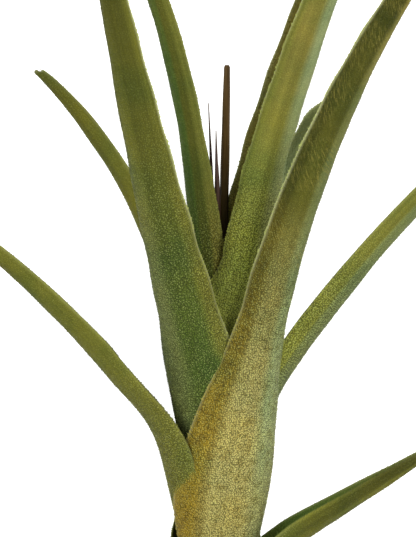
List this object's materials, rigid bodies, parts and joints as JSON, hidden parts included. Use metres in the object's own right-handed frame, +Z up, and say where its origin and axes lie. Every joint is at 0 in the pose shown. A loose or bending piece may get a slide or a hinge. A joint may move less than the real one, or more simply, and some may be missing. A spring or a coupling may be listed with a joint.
{
  "type": "tillandsia purpurea air plant",
  "caption": "Cut air plant lying on its side: a short woody stem clasped by long tapering channelled silvery green leaves, with rolled young leaves and a dry spike in its heart.",
  "frame": {"origin": "middle of the plant's box, on the surface that it lies on", "axes": "+Y along the stem from its cut end to the growing tip, +Z up from the surface, +X to the right of the stem seen from above"},
  "size_m": [0.1698, 0.2424, 0.1118],
  "materials": {
    "bark": "matt, ringed with leaf scars",
    "dry_leaf": "matt, papery, with silvery scales",
    "olive_leaf": "matt, grained with silvery scales",
    "yellow_green_leaf": "matt, grained with silvery scales",
    "dark_green_leaf": "matt, grained with silvery scales",
    "golden_leaf": "matt, grained with silvery scales",
    "purple_brown_needle": "matt",
    "brown_spike": "matt, dry"
  },
  "bodies": {
    "root": {"stem": "bark", "leaf_01_dry_right": "dry_leaf", "leaf_02_dry_left": "dry_leaf", "leaf_03_under_right": "olive_leaf", "leaf_04_front_low": "olive_leaf", "leaf_05_under_left": "olive_leaf", "leaf_06_right_low": "dark_green_leaf", "leaf_07_front_left_low": "olive_leaf", "leaf_08_under_left_long": "yellow_green_leaf", "leaf_09_front_long": "golden_leaf", "leaf_10_left": "olive_leaf", "leaf_11_right": "yellow_green_leaf", "leaf_12_front_left_broad": "dark_green_leaf", "leaf_13_left_narrow": "olive_leaf", "leaf_14_back_right": "olive_leaf", "leaf_15_upper_right_broad": "yellow_green_leaf", "leaf_16_inner_left": "dark_green_leaf", "young_leaf_1": "purple_brown_needle", "young_leaf_2": "purple_brown_needle", "dry_spike": "brown_spike"}
  },
  "joints": []
}
